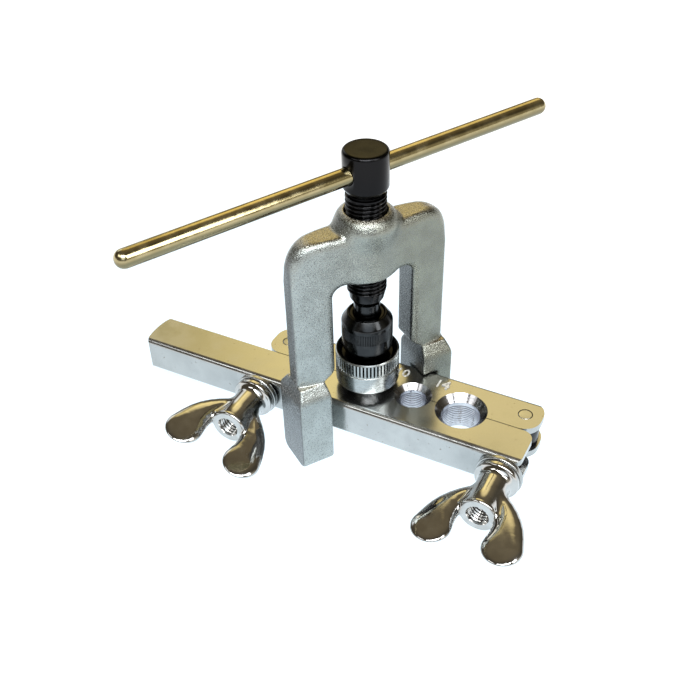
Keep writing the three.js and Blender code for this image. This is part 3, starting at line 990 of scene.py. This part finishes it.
def cone_holder():
    r, ball = 9.16, 2.7
    bore = 5.0
    shell = rounded([
        (0, 12.6, 0), (6.2, 12.6, 0.3), (6.2, 17.4, 0.2), (r - 0.1, 17.4, 1.3), (r, 23.2, 0)], 5)
    knurl = [(r, 23.35), (r, 23.45)] + layers(23.5, 27.9, r) + [(r, 27.95)]
    dome = rounded([(r, 28.1, 0), (r, 29.4, 3.2), (r - 2.1, 32.3, 1.6), (6.5, 32.3, 0.15),
                    (6.5, 30.8, 0.1), (bore, 30.8, 0.1), (bore, 21.2, 0.1), (ball, 21.2, 0.1),
                    (ball, 15.9, 0.3), (0, 15.9, 0)], 6)
    body = lathe("holder_body", shell + knurl + dome, 480, flutes(96, 0.16, 23.48, 27.92), 38)
    return finish(body, "cone_holder", "cone_holder", "black_oxide", place())


def retaining_ring():
    low, high = work("retaining_ring")
    corners = [(5.0, low.z, 0.2), (6.2, low.z, 0.2), (6.2, high.z, 0.25), (5.0, high.z, 0.25)]
    ring = rounded(corners, 4, closed=True)
    disc = lathe("snap_ring", ring + ring[:1], 96)
    return finish(disc, "retaining_ring", "cone_holder", "black_oxide", place())


def thrust_ball():
    low, high = work("thrust_ball")
    centre, radius = (low.z + high.z) / 2, (high.z - low.z) / 2
    half_turn = np.linspace(-math.pi / 2, math.pi / 2, 33)
    profile = [(max(radius * math.cos(a), 0) if abs(a) < 1.57 else 0, radius * math.sin(a))
               for a in half_turn]
    ball = lathe("bearing_ball", profile, 64)
    return finish(ball, "thrust_ball", "cone_holder", "bright_steel", place(0, 0, centre))


def flaring_cone():
    low, high = work("flaring_cone")
    tip, r, bore = low.z, 9.4, 6.6
    profile = rounded([(0, tip, 0), (0.55, tip, 0.5), (r, tip + r - 0.2, 0.3), (r, high.z, 0.3),
                       (bore, high.z, 0.3), (bore, 12.1, 0.3), (0, 12.1, 0)], 5)
    cone = lathe("polished_cone", profile, 160)
    # Painted shade: the top ring and the bore, above the cone face, get the black finish where
    # shade falls under the holder.
    cone.data.materials.append(FINISHES["black_oxide"])
    for face in cone.data.polygons:
        face.material_index = 1 if face.center.z / MM > tip + r else 0
    return finish(cone, "flaring_cone", "cone", "bright_steel", place())


def knurled_sleeve():
    low, high = work("knurled_sleeve")
    r, inner = 11.6, 10.35
    top, bottom, band = high.z, low.z, 10.5
    lip = 9.35  # grips the cone's rim
    lower = rounded([(lip, bottom + 5.2, 0), (lip, bottom, 0.15),
                     (r - 0.05, bottom, 0.55), (r, band - 0.5, 0)], 5)
    groove = [(r, band - 0.35), (r - 0.35, band - 0.1), (r - 0.35, band + 0.2),
              (r - 0.05, band + 0.4)]
    knurl = [(r, band + 0.45)] + layers(band + 0.6, top - 0.75, r, 4) + [(r, top - 0.6)]
    upper = rounded([(r - 0.1, top - 0.45, 0), (r - 0.4, top, 0.15), (r - 0.7, top, 0.15),
                     (inner, top - 1.3, 0.2), (inner, bottom + 6.2, 0.2),
                     (lip, bottom + 5.7, 0.1), (lip, bottom + 5.3, 0)], 4)
    profile = lower + groove + knurl + upper
    ring = lathe("sleeve_ring", profile + profile[:1], 672,
                 flutes(56, 0.8, band + 0.5, top - 0.65), 38)
    # Painted shade: the groove and the inner faces get the black finish where shade falls in them.
    ring.data.materials.append(FINISHES["black_oxide"])
    for face in ring.data.polygons:
        reach = Vector(face.center[:2]).length / MM
        in_groove = face.center.z / MM > band + 0.4 and reach < r - 0.3
        face.material_index = 1 if in_groove or reach < r - 0.75 else 0
    return finish(ring, "knurled_sleeve", "cone", "nickel_plate", place(), turned_plate())


def press():
    spindle()
    tommy_bar()
    cone_holder()
    retaining_ring()
    thrust_ball()
    flaring_cone()
    knurled_sleeve()


# ---------- stage, light and camera ----------
def direction(azimuth, elevation):
    """Unit vector towards that bearing: azimuth 0 is the wing-nut side, 90 the +X end."""
    a, e = math.radians(azimuth), math.radians(elevation)
    return Vector((math.sin(a) * math.cos(e), -math.cos(a) * math.cos(e), math.sin(e)))


FLOOR_GLOW = (  # distance from the screw in metres, colour
    (0.03, (0.70, 0.81, 0.89)),
    (0.15, (0.60, 0.69, 0.75)),
    (0.24, (0.84, 0.84, 0.84)),
)


def floor():
    size = 4.0
    mesh = bpy.data.meshes.new("floor")
    corners = [(-size, -size, 0), (size, -size, 0), (size, size, 0), (-size, size, 0)]
    mesh.from_pydata(corners, [], [(0, 1, 2, 3)])
    plane = bpy.data.objects.new("floor", mesh)
    bpy.context.scene.collection.objects.link(plane)
    material = bpy.data.materials.new("pale_floor")
    material.use_nodes = True
    surface = material.node_tree.nodes["Principled BSDF"]
    surface.inputs["Base Color"].default_value = (0.26, 0.27, 0.28, 1)
    surface.inputs["Roughness"].default_value = 0.9
    surface.inputs["Specular IOR Level"].default_value = 0.1
    surface.inputs["Emission Strength"].default_value = 1.3
    tree = material.node_tree
    where = tree.nodes.new("ShaderNodeTexCoord").outputs["Object"]
    spread = vector_math(tree, "DISTANCE", where, (ORIGIN.x, ORIGIN.y, 0))
    glow = tree.nodes.new("ShaderNodeValToRGB")
    glow.color_ramp.interpolation = "EASE"
    tree.links.new(spread.outputs["Value"], glow.inputs["Fac"])
    stops = glow.color_ramp.elements
    stops.new(FLOOR_GLOW[1][0])
    for stop, (metres, colour) in zip(stops, FLOOR_GLOW):
        stop.position = metres
        stop.color = (*colour, 1)
    tree.links.new(glow.outputs["Color"], surface.inputs["Emission Color"])
    mesh.materials.append(material)


ROOM = (0.10, 0.085, 0.06)
HORIZON = (0.06, 0.11)  # heights between which the pale horizon ends, as sines
GLOWS = (  # azimuth, elevation, inner and outer angle, colour, strength
    (197, 41, 7, 21, (1.0, 0.80, 0.36), 1.28),
    (221, 36, 6, 20, (1.0, 0.79, 0.26), 0.55),
    (195, 50, 10, 50, (1.0, 0.76, 0.40), 0.12),
    (90, 12, 10, 30, (0.8, 0.74, 0.6), 0.4),
    (240, 27, 8, 18, (0.9, 0.95, 1.0), 1.3),
    (32, 36, 8, 26, (0.85, 0.93, 1.0), 1.8),
)


def world():
    """Dim warm room with soft coloured areas round the tool and a pale horizon."""
    made = bpy.data.worlds.new("room")
    bpy.context.scene.world = made
    made.use_nodes = True
    tree = made.node_tree
    tree.nodes.clear()
    output = tree.nodes.new("ShaderNodeOutputWorld")
    background = tree.nodes.new("ShaderNodeBackground")
    tree.links.new(background.outputs[0], output.inputs[0])
    ray = tree.nodes.new("ShaderNodeTexCoord").outputs["Generated"]
    total = ROOM
    for azimuth, elevation, inner, outer, colour, strength in GLOWS:
        cosine = vector_math(tree, "DOT_PRODUCT", ray, direction(azimuth, elevation))
        rim, core = (math.cos(math.radians(angle)) for angle in (outer, inner))
        share = fade(tree, cosine.outputs["Value"], rim, core, 0, 1)
        glow = vector_math(tree, "MULTIPLY", share, Vector(colour) * strength)
        total = vector_math(tree, "ADD", glow.outputs["Vector"], total).outputs["Vector"]
    height = tree.nodes.new("ShaderNodeSeparateXYZ")
    tree.links.new(ray, height.inputs[0])
    horizon = fade(tree, height.outputs["Z"], *HORIZON, 1, 0)
    whole = vector_math(tree, "ADD", total, horizon)
    tree.links.new(whole.outputs["Vector"], background.inputs["Color"])


SOFTBOXES = (  # azimuth, elevation, distance, width, height, power
    (28, 56, 1.1, 0.80, 0.32, 11.0),
    (-34, 46, 1.1, 0.44, 0.26, 1.2),
    (80, 40, 1.1, 0.30, 0.62, 3.7),
)


def softboxes():
    for i, (azimuth, elevation, distance, width, depth, power) in enumerate(SOFTBOXES):
        light = bpy.data.lights.new(f"softbox_{i}", "AREA")
        light.shape = "RECTANGLE"
        light.size = width
        light.size_y = depth
        light.energy = power
        obj = bpy.data.objects.new(f"softbox_{i}", light)
        bpy.context.scene.collection.objects.link(obj)
        towards = direction(azimuth, elevation)
        obj.location = ORIGIN + towards * distance
        obj.rotation_mode = "QUATERNION"
        obj.rotation_quaternion = towards.to_track_quat("Z", "Y")


def camera():
    azimuth, elevation, roll = 27.831, 38.886, math.radians(-1.354)
    back = direction(azimuth, elevation)
    right = Vector((math.cos(math.radians(azimuth)), math.sin(math.radians(azimuth)), 0))
    up = back.cross(right)
    x_axis = right * math.cos(roll) + up * math.sin(roll)
    y_axis = up * math.cos(roll) - right * math.sin(roll)
    turn = Matrix((x_axis, y_axis, back)).transposed().to_4x4()
    data = bpy.data.cameras.new("camera")
    data.lens = 50
    data.sensor_width = 36
    data.clip_start = 0.01
    obj = bpy.data.objects.new("camera", data)
    bpy.context.scene.collection.objects.link(obj)
    obj.matrix_world = place(122.56, -245.63, 236.18) @ turn
    bpy.context.scene.camera = obj


camera()
floor()
world()
softboxes()
bpy.context.scene.view_settings.view_transform = "Standard"

front_bar()
rear_bar()
small_rods()
clamps()
yoke()
press()
